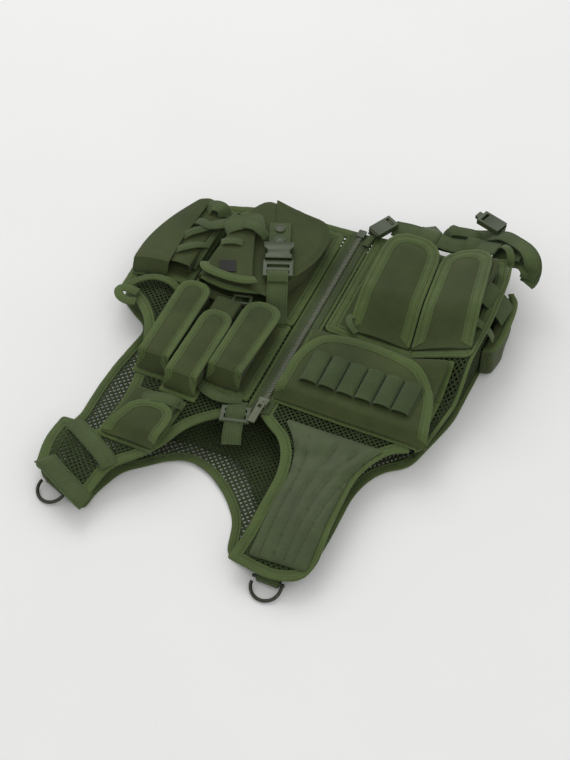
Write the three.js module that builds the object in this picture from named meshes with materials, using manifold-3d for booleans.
// Mesh load-carrying vest, laid on its back with its front upwards. Millimetres, +Z up.
// X runs across the vest, + to the wearer's right. Y runs from the shoulders to the hem.
// It is drawn with its own zero on the table near the zip and then centred over the origin.
import * as THREE from "three";
import { mergeVertices } from "three/addons/utils/BufferGeometryUtils.js";
import Module from "manifold-3d";

const wasm = await Module();
wasm.setup();

// ---- Driving dimensions ----
const GAP = 0.3; // clearance between two pieces that touch
const PANEL = 3; // mesh panel with its folded binding
const FRONT_HEIGHT = 38; // top of the front panels above the table
const BUNDLE = { x: 129.5, slope: 0.5 }; // the right side rises from here on, over the bundled belt
const FLANK = { x: -184, slope: 0.24 }; // the left side falls from here on
const BASE = 1.8; // top of a pouch's backing cloth above the front panel
const CLOTH = 1.6; // wall of a pouch
const FLAP = 3; // flap: two layers of cloth and their binding
const ZIP_X = 5; // the zip's centre line
const ZIP_TOP = -88; // neck end of the zip
const HEM_Y = 228; // hem at the zip
const WEB = 1.5; // webbing
const WIRE = 4; // wire of the shoulder D-rings
const MAP_PITCH = 34; // spacing of the lines along which cloth may bend
const rifle = { hinge: 70, depth: 28, run: 12, mouth: 14, radius: 6 };
const shell = { x0: 12, x1: 200, hinge: -62, end: 50, depth: 13, run: 10, mouth: 12 };

// A flap bends where it leaves its hinge and where it reaches the pouch.
const hinge_folds = ({ hinge, run }) => [hinge + FLAP / 2, hinge + FLAP / 2 + run];
const right_folds = [...hinge_folds(rifle), ...hinge_folds(shell), 10, 65];

const clamp = (t) => Math.min(1, Math.max(0, t));
const ease = (t) => clamp(t) ** 2 * (3 - 2 * clamp(t));

// Height of the front panels. The right side rises where the belt is bundled under it, the left
// side falls away, and both shoulders fall towards the table.
function drape(x, y) {
  const bundle = Math.max(0, x - BUNDLE.x) * BUNDLE.slope * ease((y - 10) / 55);
  const flank = Math.max(0, FLANK.x - x) * FLANK.slope;
  return FRONT_HEIGHT + bundle - flank - 14 * ease((-y - 200) / 75);
}

// ---- Solids ----
function solid(geometry) {
  const bare = geometry.clone();
  for (const name of ["normal", "uv"]) bare.deleteAttribute(name);
  const merged = mergeVertices(bare, 1e-4);
  return new wasm.Manifold(
    new wasm.Mesh({
      numProp: 3,
      vertProperties: merged.attributes.position.array,
      triVerts: new Uint32Array(merged.index.array),
    }),
  );
}

function geometryOf(manifold) {
  const made = manifold.getMesh();
  return new THREE.BufferGeometry()
    .setAttribute("position", new THREE.BufferAttribute(new Float32Array(made.vertProperties), 3))
    .setIndex(new THREE.BufferAttribute(new Uint32Array(made.triVerts), 1));
}

// A closed outline through the points, each corner rounded by its own radius or the common one.
function outline(points, radius = 0, steps = 3) {
  const shape = new THREE.Shape();
  const at = points.map(([x, y, r]) => ({ p: new THREE.Vector2(x, y), r: r ?? radius }));
  at.forEach(({ p, r }, i) => {
    const before = at[(i + at.length - 1) % at.length].p;
    const after = at[(i + 1) % at.length].p;
    const cut = Math.min(r, before.distanceTo(p) * 0.49, after.distanceTo(p) * 0.49);
    const start = p.clone().lerp(before, cut / before.distanceTo(p));
    const end = p.clone().lerp(after, cut / after.distanceTo(p));
    if (i === 0) shape.moveTo(start.x, start.y);
    else shape.lineTo(start.x, start.y);
    if (cut < 0.01) return;
    const bend = new THREE.QuadraticBezierCurve(start, p, end);
    for (let k = 1; k <= steps; k++) {
      const q = bend.getPoint(k / steps);
      shape.lineTo(q.x, q.y);
    }
  });
  return shape;
}

const box = (x0, x1, y0, y1, radius = 0) =>
  outline([[x0, y0], [x1, y0], [x1, y1], [x0, y1]], radius);

function prism(shape, z0, z1) {
  const made = new THREE.ExtrudeGeometry(shape, { depth: z1 - z0, bevelEnabled: false, curveSegments: 4 });
  return solid(made.translate(0, 0, z0));
}

// Where cloth may bend: a common lattice, so that layers that lie on each other bend alike.
function stations(low, high, extra) {
  const first = Math.floor(low / MAP_PITCH);
  const count = Math.ceil(high / MAP_PITCH) - first + 1;
  const even = Array.from({ length: count }, (_, i) => (first + i) * MAP_PITCH);
  const inner = extra.filter((v) => v > even[0] + 1 && v < even[count - 1] - 1);
  return [...even, ...inner].sort((a, b) => a - b);
}

// Cloth that lies on the drape: everything inside the outline between two heights above it.
function cloth(shape, low, high, folds = []) {
  const points = shape.getPoints(4);
  const xs0 = points.map((p) => p.x);
  const ys0 = points.map((p) => p.y);
  const common = Math.max(...xs0) > 0 ? right_folds : [];
  const xs = stations(Math.min(...xs0) - 2, Math.max(...xs0) + 2, [BUNDLE.x, FLANK.x]);
  const ys = stations(Math.min(...ys0) - 2, Math.max(...ys0) + 2, [...common, ...folds]);
  const grid = new THREE.BoxGeometry(1, 1, 1, xs.length - 1, ys.length - 1, 1);
  const place = grid.attributes.position;
  const offset = (v, x, y) => (typeof v === "function" ? v(x, y) : v);
  for (let i = 0; i < place.count; i++) {
    const x = xs[Math.round((place.getX(i) + 0.5) * (xs.length - 1))];
    const y = ys[Math.round((place.getY(i) + 0.5) * (ys.length - 1))];
    place.setXYZ(i, x, y, drape(x, y) + offset(place.getZ(i) > 0 ? high : low, x, y));
  }
  // The lower face is split along the same diagonals as the upper one.
  const { start, count } = grid.groups[5];
  for (let i = start; i < start + count; i += 6) {
    const [a, b, d, , c] = grid.index.array.slice(i, i + 6);
    grid.index.array.set([a, b, c, a, c, d], i);
  }
  return solid(grid).intersect(prism(shape, -50, 400));
}

// Straight round bar between two points.
function bar(from, to, radius, sides = 10) {
  const a = new THREE.Vector3(...from);
  const b = new THREE.Vector3(...to);
  const made = new THREE.CylinderGeometry(radius, radius, a.distanceTo(b), sides);
  const turn = new THREE.Quaternion().setFromUnitVectors(
    new THREE.Vector3(0, 1, 0),
    b.clone().sub(a).normalize(),
  );
  made.applyQuaternion(turn).translate(...a.add(b).multiplyScalar(0.5).toArray());
  return solid(made);
}

function block(x0, x1, y0, y1, z0, z1) {
  return prism(box(x0, x1, y0, y1), z0, z1);
}

// ---- Materials ----
const paint = (color, roughness, metalness = 0) => new THREE.MeshStandardMaterial({ color, roughness, metalness });
const mesh_cloth = paint("#3d4a2b", 0.95);
const pack_cloth = paint("#48502f", 0.9);
const smooth_cloth = paint("#4c5a38", 0.7);
const webbing = paint("#4a6134", 0.85);
const moulding = paint("#4f5b40", 0.55);
const zip_plastic = paint("#6f7560", 0.5);
const ring_metal = paint("#3b3e33", 0.35, 0.9);
const label_cloth = paint("#23241f", 0.8);

const vest = new THREE.Group();
function add(name, manifold, material, parent = vest) {
  const made = new THREE.Mesh(geometryOf(manifold), material);
  made.name = name;
  parent.add(made);
  return made;
}

// ---- Shell of the vest: back, two fronts, side walls and shoulder seams ----
const zip_gap = 4; // from the zip's centre to each front panel's edge

const neck_back = [[-128, -269], [-128, -242], [-112, -200], [-78, -170], [-50, -156], [-20, -164], [10, -186],
  [32, -212], [44, -258]];
const armhole_right = [[137, -246], [141, -190], [140, -128], [147, -100], [160, -80], [184, -64]];
const side_right = [[206, 20], [208, 120], [204, 190], [196, HEM_Y + 2]];
const side_left = [[-205, 192], [-228, 150], [-238, 100], [-236, 38]];
const armhole_back_left = [[-214, 22], [-186, 5], [-194, -60], [-197, -104], [-195, -150], [-204, -170],
  [-204, -216], [-198, -244]];

const back_outline = outline(
  [...neck_back, [95, -268], ...armhole_right, ...side_right, [60, HEM_Y + 2], [-60, HEM_Y - 4], [-130, 218],
    ...side_left, ...armhole_back_left],
  14,
);
const flat = (z) => (x, y) => z - drape(x, y);
add("back_panel", cloth(back_outline, flat(0), flat(PANEL)), mesh_cloth);

const front_left_outline = outline(
  [[ZIP_X - zip_gap, ZIP_TOP, 1], [-27, -105], [-47, -120], [-64, -142], [-74, -170], [-92, -200],
    [-116, -222], [-127, -274, 3], [-198, -247, 4], [-204, -216], [-200, -178, 5], [-152, -184, 5],
    [-146, -130], [-151, -85], [-163, -45], [-178, -10], [-205, 18], [-236, 38, 5], [-238, 100],
    [-228, 150], [-205, 192], [-130, 218], [-60, HEM_Y - 4], [ZIP_X - zip_gap, HEM_Y, 1]],
  14,
);
add("front_panel_left", cloth(front_left_outline, -PANEL, 0), mesh_cloth);

const front_right_outline = outline(
  [[ZIP_X + zip_gap, ZIP_TOP, 1], [22, -98], [42, -110], [55, -132], [61, -160], [60, -230], [53, -272, 3],
    [105, -282], [137, -270], [147, -245], [143, -190], [142, -130], [151, -100], [164, -78],
    [196, -62], [208, 20], [211, 120], [207, 190], [198, HEM_Y + 4], [60, HEM_Y + 6],
    [ZIP_X + zip_gap, HEM_Y, 1]],
  14,
);
add("front_panel_right", cloth(front_right_outline, -PANEL, 0), mesh_cloth);

// A wall of cloth that follows a line in plan and joins the back to the front.
function wall(line, width) {
  const side = line.map(([x, y], i) => {
    const before = line[Math.max(0, i - 1)];
    const after = line[Math.min(line.length - 1, i + 1)];
    const along = new THREE.Vector2(after[0] - before[0], after[1] - before[1]).normalize();
    return [x - along.y * width, y + along.x * width];
  });
  return cloth(outline([...line, ...side.reverse()]), flat(PANEL + GAP), -PANEL - GAP);
}
const side_wall = 4;
add("side_panel_right", wall([[184, -50], [202, 24], [204, 120], [200, 188], [192, HEM_Y - 2]], side_wall), mesh_cloth);
add("side_panel_left", wall([[-200, 184], [-223, 146], [-233, 100], [-232, 46]], side_wall), mesh_cloth);

// ---- Shoulder seams, each with the webbing keeper and its D-ring ----
const ring_inside = 30; // inside width of a D-ring
const keeper = { width: 26, depth: 9, height: 10, z: 9 };
const ring_reach = 21; // from the bar's centre to where the bow starts to turn back
const bow_bulge = 7; // how much further the bow's control points lie

// x, y: middle of the ring's bar. turn: the shoulder's angle in plan, in degrees.
function shoulder(side, x, y, turn, seam_width) {
  const frame = new THREE.Group();
  frame.position.set(x, y, 0);
  frame.rotation.z = THREE.MathUtils.degToRad(turn);
  vest.add(frame);
  const seam_y = keeper.depth / 2 + 6;
  const top = drape(x, y) - PANEL - GAP - 1.2;
  const seam = block(-seam_width / 2, seam_width / 2, keeper.depth / 2, seam_y, PANEL + GAP, top);
  const tab = block(-keeper.width / 2, keeper.width / 2, -keeper.depth / 2, keeper.depth / 2 + 1,
    keeper.z - keeper.height / 2, keeper.z + keeper.height / 2);
  const tunnel = bar([-seam_width, 0, keeper.z], [seam_width, 0, keeper.z], WIRE / 2 + 0.4);
  add("shoulder_seam_" + side, seam.add(tab).subtract(tunnel), webbing, frame);

  const r = WIRE / 2;
  const half = ring_inside / 2 + r;
  const bow = new THREE.CurvePath();
  const straight = ring_reach - half * 0.62;
  bow.add(new THREE.LineCurve3(new THREE.Vector3(-half, 0, 0), new THREE.Vector3(-half, -straight, 0)));
  bow.add(new THREE.CubicBezierCurve3(
    new THREE.Vector3(-half, -straight, 0), new THREE.Vector3(-half, -ring_reach - bow_bulge, 0),
    new THREE.Vector3(half, -ring_reach - bow_bulge, 0), new THREE.Vector3(half, -straight, 0)));
  bow.add(new THREE.LineCurve3(new THREE.Vector3(half, -straight, 0), new THREE.Vector3(half, 0, 0)));
  const section = new THREE.Shape().absarc(0, 0, r, 0, Math.PI * 2);
  const bent = new THREE.ExtrudeGeometry(section, { steps: 30, extrudePath: bow, curveSegments: 4 });
  const ring = solid(bent).add(bar([-half - r * 0.6, 0, 0], [half + r * 0.6, 0, 0], r, 8));
  const made = add("d_ring_" + side, ring, ring_metal, frame);
  // The ring slopes down until its bow lies on the table.
  const reach = 0.25 * straight + 0.75 * (ring_reach + bow_bulge);
  made.position.z = keeper.z;
  made.rotation.x = Math.asin((keeper.z - r - GAP) / reach);
}
shoulder("right", 102, -273.5, 0, 60);
shoulder("left", -170.8, -252.4, -21, 52);

// ---- Recoil pad on the right shoulder ----
const pad_outline = outline(
  [[36, -82], [52, -98], [66, -120], [73, -150], [73, -262, 4], [140, -258, 6], [137, -190], [137, -130],
    [146, -100], [158, -80, 6]],
  12,
);
add("recoil_pad", cloth(pad_outline, GAP, 7), smooth_cloth);

// ---- Zip: two tapes, two rows of teeth, the box at the hem, the slider and its pull ----
const tape = { width: 5.5, thick: 0.8 };
const teeth = { width: 3, height: 2.6, gap: 0.3 };
const zip_end = HEM_Y - 2;
for (const [side, way] of [["left", -1], ["right", 1]]) {
  const near = ZIP_X + way * 0.2;
  const far = ZIP_X + way * tape.width;
  const ribbon = cloth(box(Math.min(near, far), Math.max(near, far), ZIP_TOP, zip_end), GAP, GAP + tape.thick);
  const inner = ZIP_X + (way * teeth.gap) / 2;
  const outer = inner + way * teeth.width;
  const row = cloth(box(Math.min(inner, outer), Math.max(inner, outer), ZIP_TOP + 2, zip_end - 10),
    GAP + tape.thick * 0.5, GAP + tape.thick + teeth.height);
  add("zip_stringer_" + side, ribbon.add(row), zip_plastic);
}
const teeth_foot = FRONT_HEIGHT + GAP * 2 + tape.thick;
const teeth_top = teeth_foot + teeth.height;
add("zip_end_box",
  block(ZIP_X - 5, ZIP_X + 5, zip_end - 9, zip_end + 3, teeth_foot, teeth_top + 1.4), moulding);

// The slider straddles the teeth: a deck above them and two side plates, open underneath.
const slider = { width: 13, length: 15, wall: 1.6, y: ZIP_TOP + 14 };
const slider_clear = 0.4;
const deck = teeth_top + slider_clear;
const inside = teeth.width + teeth.gap / 2 + slider_clear;
const s0 = slider.y - slider.length / 2;
const s1 = slider.y + slider.length / 2;
const slider_body = prism(box(ZIP_X - slider.width / 2, ZIP_X + slider.width / 2, s0, s1, 3), deck, deck + slider.wall)
  .add(block(ZIP_X - inside - slider.wall, ZIP_X - inside, s0 + 1, s1 - 1, teeth_foot, deck + 0.5))
  .add(block(ZIP_X + inside, ZIP_X + inside + slider.wall, s0 + 1, s1 - 1, teeth_foot, deck + 0.5));
const bridge = { width: 3, height: 3.4, hole: 1.1 };
const bridge_z = deck + slider.wall + bridge.height * 0.45;
const lug = block(ZIP_X - bridge.width / 2, ZIP_X + bridge.width / 2, s0 + 1.5, s0 + 7.5, deck + 0.8,
  deck + slider.wall + bridge.height);
const lug_y = s0 + 4;
const lug_hole = bar([ZIP_X - 9, lug_y, bridge_z], [ZIP_X + 9, lug_y, bridge_z], bridge.hole, 8);
add("zip_slider", slider_body.add(lug).subtract(lug_hole), zip_plastic);

const pull = { width: 9, length: 30, thick: 1.6 };
const pull_shape = box(ZIP_X - pull.width / 2, ZIP_X + pull.width / 2, lug_y - pull.length, lug_y + 1, 2.5);
const pull_slot = box(ZIP_X - bridge.width / 2 - 0.5, ZIP_X + bridge.width / 2 + 0.5, lug_y - 7, lug_y - 0.6);
const pull_plate = prism(pull_shape, bridge_z - pull.thick / 2, bridge_z + pull.thick / 2)
  .subtract(prism(pull_slot, bridge_z - 5, bridge_z + 5))
  .subtract(block(ZIP_X - bridge.width / 2 - 0.5, ZIP_X + bridge.width / 2 + 0.5, lug_y - 0.7, lug_y + 2,
    bridge_z - 5, bridge_z + 5))
  .add(bar([ZIP_X - 3, lug_y, bridge_z], [ZIP_X + 3, lug_y, bridge_z], bridge.hole - 0.4, 8));
add("zip_pull", pull_plate, zip_plastic);

// ---- Pouches ----
// A pouch stands on its backing and is open at its shoulder end, which is its mouth.
const seat = BASE + GAP;
function pouch(name, x0, x1, mouth, end, depth, radius, material = pack_cloth) {
  const outer = cloth(box(x0, x1, mouth, end, radius), seat, seat + depth);
  const room = cloth(box(x0 + CLOTH * 1.5, x1 - CLOTH * 1.5, mouth - 5, end - CLOTH * 1.5, radius),
    seat + CLOTH, seat + depth - CLOTH);
  add(name, outer.subtract(room), material);
}

// A flap is sewn down at its hinge line, climbs over the mouth and lies on the pouch.
function flap(name, shape, hinge_y, run, depth, material = pack_cloth) {
  const climb = (y) => seat + GAP + depth * clamp((y - hinge_y - FLAP / 2) / run);
  const folds = hinge_folds({ hinge: hinge_y, run }).filter((v) => !right_folds.includes(v));
  add(name, cloth(shape, (x, y) => climb(y), (x, y) => climb(y) + FLAP, folds), material);
}

// Round-ended flap outline: x0, x1 at the hinge, u0, u1 at the far end.
function tongue(x0, x1, u0, u1, hinge_y, end) {
  const width = u1 - u0;
  return outline([[x0, hinge_y, 2], [x1, hinge_y, 2], [u1, end, width * 0.62], [u0, end, width * 0.62]], 0, 5);
}

// Three pistol-magazine pouches on the left chest.
const pistol = { depth: 22, run: 9, mouth: 11, radius: 5 };
const pistols = [
  { x0: -153, x1: -115, u0: -154, u1: -114, hinge: -83, end: 49 },
  { x0: -111, x1: -72, u0: -109, u1: -71, hinge: -98, end: 17 },
  { x0: -70, x1: -29, u0: -67, u1: -21, hinge: -70, end: 50 },
];
const pistol_end = 44;
add("pistol_pouch_base",
  cloth(outline([[-156, -88], [-114, -88], [-114, -103], [-69, -103], [-69, -76], [-14, -76],
    [-14, pistol_end + 4], [-156, pistol_end + 4]], 2), GAP, BASE), pack_cloth);
pistols.forEach((p, i) => {
  const n = i + 1;
  pouch("pistol_pouch_" + n, Math.max(p.x0, p.u0) + 2, Math.min(p.x1, p.u1) - 2, p.hinge + pistol.mouth,
    pistol_end, pistol.depth, pistol.radius);
  flap("pistol_flap_" + n, tongue(p.x0, p.x1, p.u0, p.u1, p.hinge, p.end), p.hinge, pistol.run, pistol.depth);
});

// Two rifle-magazine pouches on the right, towards the hem.
const rifles = [
  { x0: 50, x1: 128, u0: 46, u1: 115, end: 221 },
  { x0: 131, x1: 203, u0: 118, u1: 179, end: 217 },
];
add("rifle_pouch_base", cloth(outline([[24, 60], [207, 60], [208, 120], [204, 185], [194, HEM_Y], [24, HEM_Y]], 8),
  GAP, BASE), pack_cloth);
rifles.forEach((p, i) => {
  const n = i + 1;
  const left = Math.max(p.x0, p.u0) + 3;
  pouch("rifle_pouch_" + n, left, (p.x1 + p.u1) / 2 - 1, rifle.hinge + rifle.mouth, p.end - 10, rifle.depth,
    rifle.radius);
  flap("rifle_flap_" + n, tongue(p.x0, p.x1, p.u0, p.u1, rifle.hinge, p.end), rifle.hinge, rifle.run,
    rifle.depth);
});

// Pocket on the right chest; its flap carries six elastic loops.
const base_left = ZIP_X + tape.width + 1;
add("shell_pocket_base", cloth(box(base_left, 190, -64, 54, 3), GAP, BASE), pack_cloth);
pouch("shell_pocket", 16, 186, shell.hinge + shell.mouth, 50, shell.depth, 5);
const shell_outline = outline(
  [[shell.x0, shell.hinge, 2], [shell.x1, shell.hinge, 2], [184, 8, 40], [150, shell.end - 8, 50],
    [92, shell.end + 2, 60], [32, shell.end - 8, 40], [shell.x0 + 1, 6, 30]],
  0,
  4,
);
flap("shell_flap", shell_outline, shell.hinge, shell.run, shell.depth);
const loop = { count: 6, pitch: 22.5, x: 33, y0: -38, y1: 8, rise: 8, wall: 1.4, land: 3.5 };
const on_flap = seat + GAP + shell.depth + FLAP + GAP;
const loops_end = loop.x + loop.count * loop.pitch + loop.land;
let loops = cloth(box(loop.x, loops_end, loop.y0, loop.y1), on_flap, on_flap + loop.wall);
for (let i = 0; i < loop.count; i++) {
  const x0 = loop.x + loop.land + i * loop.pitch;
  const x1 = x0 + loop.pitch - loop.land;
  const arch = cloth(box(x0, x1, loop.y0, loop.y1), on_flap, on_flap + loop.rise);
  const hole = cloth(box(x0 + loop.wall, x1 - loop.wall, loop.y0 - 1, loop.y1 + 1), on_flap + loop.wall,
    on_flap + loop.rise - loop.wall);
  loops = loops.add(arch).subtract(hole);
}
add("shell_loops", loops, webbing);

// ---- Cross-draw holster on the left, towards the hem ----
const holster = { depth: 26, mouth: 62 };
const holster_top = seat + holster.depth;
add("holster_base",
  cloth(outline([[-149, 50, 4], [-13, 50, 5], [-13, 212, 5], [-60, 218], [-118, 215, 4], [-149, 200]], 10), GAP, BASE),
  pack_cloth);
const holster_outline = outline(
  [[-142, holster.mouth, 5], [-46, holster.mouth + 8, 6], [-22, 120, 30], [-22, 196, 34], [-70, 206, 20],
    [-108, 218, 3], [-136, 180, 10]],
  8,
  4,
);
const holster_room = outline(
  [[-138, holster.mouth - 6], [-54, holster.mouth - 6], [-46, 110, 20], [-62, 190, 14], [-126, 190, 8],
    [-132, 150]],
  4,
);
add("holster_body",
  cloth(holster_outline, seat, holster_top).subtract(cloth(holster_room, seat + CLOTH, holster_top - CLOTH)),
  pack_cloth);
// Flat magazine pocket on the holster's face, open at its shoulder end.
const front_pocket = { depth: 8, mouth: 68 };
const pocket_outline = outline([[-138, front_pocket.mouth, 3], [-86, front_pocket.mouth + 6, 3], [-106, 150, 6],
  [-122, 178, 5], [-136, 150, 5]], 5);
const pocket_room = outline([[-134, front_pocket.mouth - 5], [-90, front_pocket.mouth - 5], [-107, 140],
  [-120, 166], [-132, 144]], 3);
const pocket_seat = holster_top + GAP;
add("holster_pocket",
  cloth(pocket_outline, pocket_seat, pocket_seat + front_pocket.depth)
    .subtract(cloth(pocket_room, pocket_seat + CLOTH, pocket_seat + front_pocket.depth - CLOTH)),
  pack_cloth);
const pocket_top = pocket_seat + front_pocket.depth + GAP;
add("holster_label", cloth(outline([[-123, 84], [-115, 68], [-99, 75], [-107, 90]]), pocket_top, pocket_top + 0.8),
  label_cloth);

// Retention strap: the frame below turns with it, its own Y running up the strap to the hem.
const strap = { width: 27, x: -56, y: 106, turn: 22, low: -54, buckle: -19, top: 72 };
const strap_seat = FRONT_HEIGHT + holster_top + GAP;
const strap_frame = new THREE.Group();
strap_frame.position.set(strap.x, strap.y, strap_seat);
strap_frame.rotation.z = THREE.MathUtils.degToRad(strap.turn);
vest.add(strap_frame);
const female = { width: 36, length: 26, height: 10, wall: 1.8 };
const male = { width: 36, length: 26, height: 6, bar: 4 };
const half_strap = strap.width / 2;
const buckle_lift = 2.2; // the buckle lies on the strap's own thickness

const female_y0 = strap.buckle + male.length + GAP;
const female_y1 = female_y0 + female.length;
const female_z0 = buckle_lift;
const housing = prism(outline([[-14, female_y0, 2], [14, female_y0, 2], [female.width / 2, female_y0 + 8, 4],
  [female.width / 2, female_y1, 2], [-female.width / 2, female_y1, 2], [-female.width / 2, female_y0 + 8, 4]]),
  female_z0, female_z0 + female.height)
  .subtract(block(-11.5, 11.5, female_y0 - 1, female_y1 - 6, female_z0 + female.wall,
    female_z0 + female.height - female.wall))
  .subtract(block(-30, 30, female_y0 + 8, female_y1 - 8, female_z0 + female.wall,
    female_z0 + female.height - female.wall));
add("holster_buckle_female", housing, moulding, strap_frame);

const male_z0 = female_z0 + 2.2;
const male_z1 = male_z0 + male.height - 0.6;
const male_y0 = strap.buckle;
const male_y1 = strap.buckle + male.length;
const ladder = prism(box(-male.width / 2, male.width / 2, male_y0, male_y1, 3), female_z0, female_z0 + male.height)
  .subtract(block(-half_strap, half_strap, male_y0 + male.bar, male_y0 + male.bar + 5, -5, 20))
  .subtract(block(-half_strap, half_strap, male_y0 + male.bar * 2 + 5, male_y1 - 7, -5, 20))
  .add(block(-10.5, -6.5, male_y1 - 2, male_y1 + 14, male_z0, male_z1))
  .add(block(6.5, 10.5, male_y1 - 2, male_y1 + 14, male_z0, male_z1))
  .add(block(-1.8, 1.8, male_y1 - 2, male_y1 + 12, male_z0, male_z1));
add("holster_buckle_male", ladder, moulding, strap_frame);

add("holster_strap_upper",
  block(-half_strap, half_strap, female_y1 + GAP, strap.top, GAP, GAP + WEB * 3), webbing, strap_frame);
add("holster_strap_lower",
  block(-half_strap, half_strap, strap.low, female_y0 - 4, GAP, GAP + WEB), webbing, strap_frame);
const snap = { radius: 6.5, height: 2 };
for (const [name, y] of [["snap_cap_upper", strap.top - 10], ["snap_cap_lower", strap.top - 27]]) {
  const z = GAP * 2 + WEB * 3;
  add(name, bar([0, y, z], [0, y, z + snap.height], snap.radius, 16), moulding, strap_frame);
}

// Webbing across the holster's face: a wide keeper and a narrow one, each sewn at both ends.
function keeper_band(name, x0, x1, y0, y1, low, thick = WEB * 1.4) {
  add(name, cloth(box(x0, x1, y0, y1, 2), low, low + thick), webbing);
}
keeper_band("holster_keeper", -138, -102, 138, 160, pocket_top, WEB * 2);
// Rolled lip webbing under the mouth, with its bar.
add("mouth_webbing", cloth(outline([[-140, 51, 2], [-74, 51, 2], [-78, 60, 2], [-134, 60, 2]]), seat, seat + 12),
  webbing);

// ---- Utility pouch on the left side ----
const utility = { depth: 16, hinge: 62, run: 10, mouth: 14 };
add("utility_pouch_base", cloth(outline([[-233, 60, 3], [-153, 60, 3], [-153, 196, 3], [-196, 192, 12], [-226, 140, 20]]),
  GAP, BASE), pack_cloth);
const utility_outer = outline([[-228, utility.hinge + utility.mouth, 4], [-160, utility.hinge + utility.mouth, 4],
  [-160, 186, 5], [-196, 182, 14], [-222, 138, 16]]);
const utility_room = outline([[-225, utility.hinge + 6], [-163, utility.hinge + 6], [-163, 182], [-195, 178], [-219, 137]]);
add("utility_pouch",
  cloth(utility_outer, seat, seat + utility.depth)
    .subtract(cloth(utility_room, seat + CLOTH, seat + utility.depth - CLOTH)), pack_cloth);
flap("utility_flap", outline([[-232, utility.hinge, 3], [-184, utility.hinge, 3], [-188, 120, 10], [-184, 186, 8],
  [-198, 188, 10], [-222, 148, 30], [-234, 104, 20]], 0, 4), utility.hinge, utility.run, utility.depth);
const on_utility = seat + utility.depth + GAP;
keeper_band("utility_loop", -178, -161, 150, 168, on_utility, 6);

// ---- Radio pouch on the left shoulder strap ----
const radio = { depth: 9, hinge: -186, run: 6, mouth: 8 };
add("radio_pouch_base", cloth(outline([[-146, -189, 3], [-82, -189, 3], [-76, -108, 3], [-140, -108, 3]]), GAP, BASE),
  pack_cloth);
const radio_room = outline([[-141, radio.hinge], [-90, radio.hinge], [-82, -117], [-134, -117]]);
add("radio_pouch",
  cloth(outline([[-144, radio.hinge + radio.mouth, 3], [-87, radio.hinge + radio.mouth, 3], [-79, -113, 4],
    [-137, -113, 4]]), seat, seat + radio.depth)
    .subtract(cloth(radio_room, seat + CLOTH, seat + radio.depth - CLOTH)), pack_cloth);
flap("radio_flap", outline([[-146, radio.hinge, 2], [-82, radio.hinge, 2], [-74, -128, 26], [-128, -128, 34]], 0, 5),
  radio.hinge, radio.run, radio.depth);

// ---- Chest strap with its three-bar slide, by the neck end of the zip ----
const slide = { width: 35, length: 23, bar: 4.5, x: -17, y: -101, turn: 15 };
const chest = new THREE.Group();
chest.position.set(slide.x, slide.y, FRONT_HEIGHT + GAP);
chest.rotation.z = THREE.MathUtils.degToRad(slide.turn);
vest.add(chest);
// The strap runs straight through the slide: over its two outer bars and under its middle one.
const low_bar = 1.6;
const strap_z = low_bar + GAP;
const high_bar = strap_z + WEB + GAP;
add("chest_strap", block(-11, 11, -36, 15, strap_z, strap_z + WEB), webbing, chest);
const rim = (slide.width - 25) / 2;
const half_slide = slide.length / 2;
const slide_frame = prism(box(-slide.width / 2, slide.width / 2, -half_slide, half_slide, 4), 0, high_bar + low_bar)
  .subtract(block(rim - slide.width / 2, slide.width / 2 - rim, -half_slide + slide.bar, half_slide - slide.bar,
    -1, 20))
  .subtract(block(rim - slide.width / 2, slide.width / 2 - rim, -half_slide - 1, half_slide + 1, low_bar, 20))
  .add(block(rim - slide.width / 2 - 1, slide.width / 2 - rim + 1, -slide.bar / 2, slide.bar / 2, high_bar,
    high_bar + low_bar));
add("chest_slide", slide_frame, moulding, chest);

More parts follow.
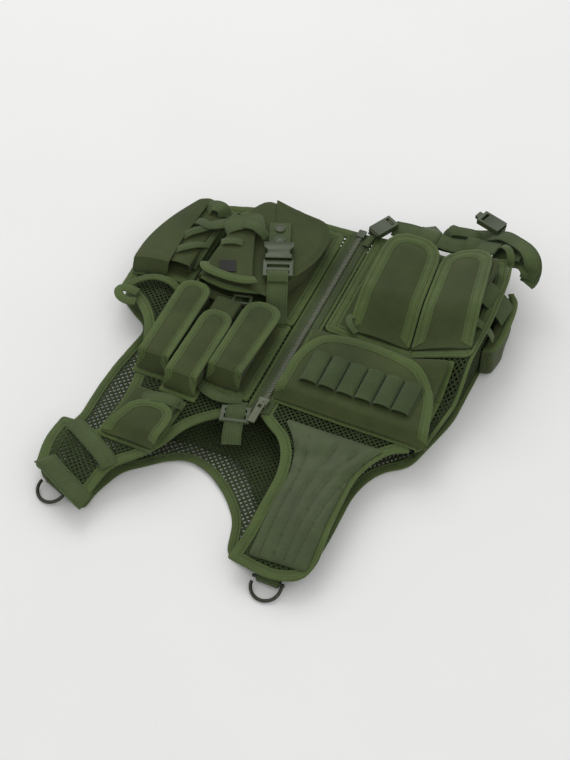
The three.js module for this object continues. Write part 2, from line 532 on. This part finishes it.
// ---- Belt along the hem, its buckle, its keepers and the bundled end ----
const belt = { y0: HEM_Y + 8, width: 26, thick: 4 };
const belt_y1 = belt.y0 + belt.width;
const belt_end = 172;
add("belt", cloth(box(38, belt_end, belt.y0, belt_y1, 2), GAP, GAP + belt.thick), webbing);
const over_belt = GAP * 2 + belt.thick;
for (const [name, x0, x1] of [["belt_keeper_1", 70, 98], ["belt_keeper_2", 132, 158]])
  add(name, cloth(box(x0, x1, belt.y0 - 4, belt_y1, 2), over_belt, over_belt + WEB * 1.4), webbing);
add("belt_bundle", cloth(outline([[100, belt_y1 + GAP, 2], [belt_end + 4, belt_y1 + GAP, 2],
  [170, belt_y1 + 20, 5], [142, belt_y1 + 30, 5], [104, belt_y1 + 16, 5]]), -8, 8), webbing);
add("belt_tail", cloth(outline([[belt_end + GAP, HEM_Y + 10, 3], [212, HEM_Y - 4, 4], [224, HEM_Y + 8, 5],
  [221, HEM_Y + 22, 5], [belt_end + GAP, HEM_Y + 33, 3]]), -12, 8), webbing);

// The belt is unbuckled: one half of its buckle hangs at each end.
function belt_buckle(name, x, y, z, turn, pocket) {
  const frame = new THREE.Group();
  frame.position.set(x, y, z);
  frame.rotation.z = THREE.MathUtils.degToRad(turn);
  vest.add(frame);
  const length = 32;
  const width = 19;
  const thick = 9;
  const body = prism(box(-length / 2, length / 2, -width / 2, width / 2, 3), 0, thick)
    .subtract(block(-length / 2 + 4, -length / 2 + 8, -width / 2 + 3, width / 2 - 3, -1, thick + 1))
    .subtract(block(pocket, length, -width / 2 + 3, width / 2 - 3, 2, thick - 2));
  add(name, body, moulding, frame);
}
belt_buckle("belt_buckle_male", 22, HEM_Y + 17, FRONT_HEIGHT, 242, 60);
belt_buckle("belt_buckle_female", 148, belt_y1 + 19, drape(164, belt_y1 + 21) + 9, -18, 0);

// ---- Side pocket with its elastic keepers, on the wearer's right ----
const flank = { x0: 207.4, x1: 226, top: 50 };
const flank_shape = outline([[flank.x0, 98, 2], [flank.x1 - 4, 102, 5], [flank.x1, 130, 5], [flank.x1 - 6, 182, 6],
  [flank.x0, 200, 2]]);
add("side_pocket", prism(flank_shape, PANEL + GAP, flank.top), pack_cloth);

// The origin is on the table, under the middle of the whole vest.
const centre = new THREE.Box3().setFromObject(vest, true).getCenter(new THREE.Vector3());
vest.position.set(-centre.x, -centre.y, 0);

export default vest;
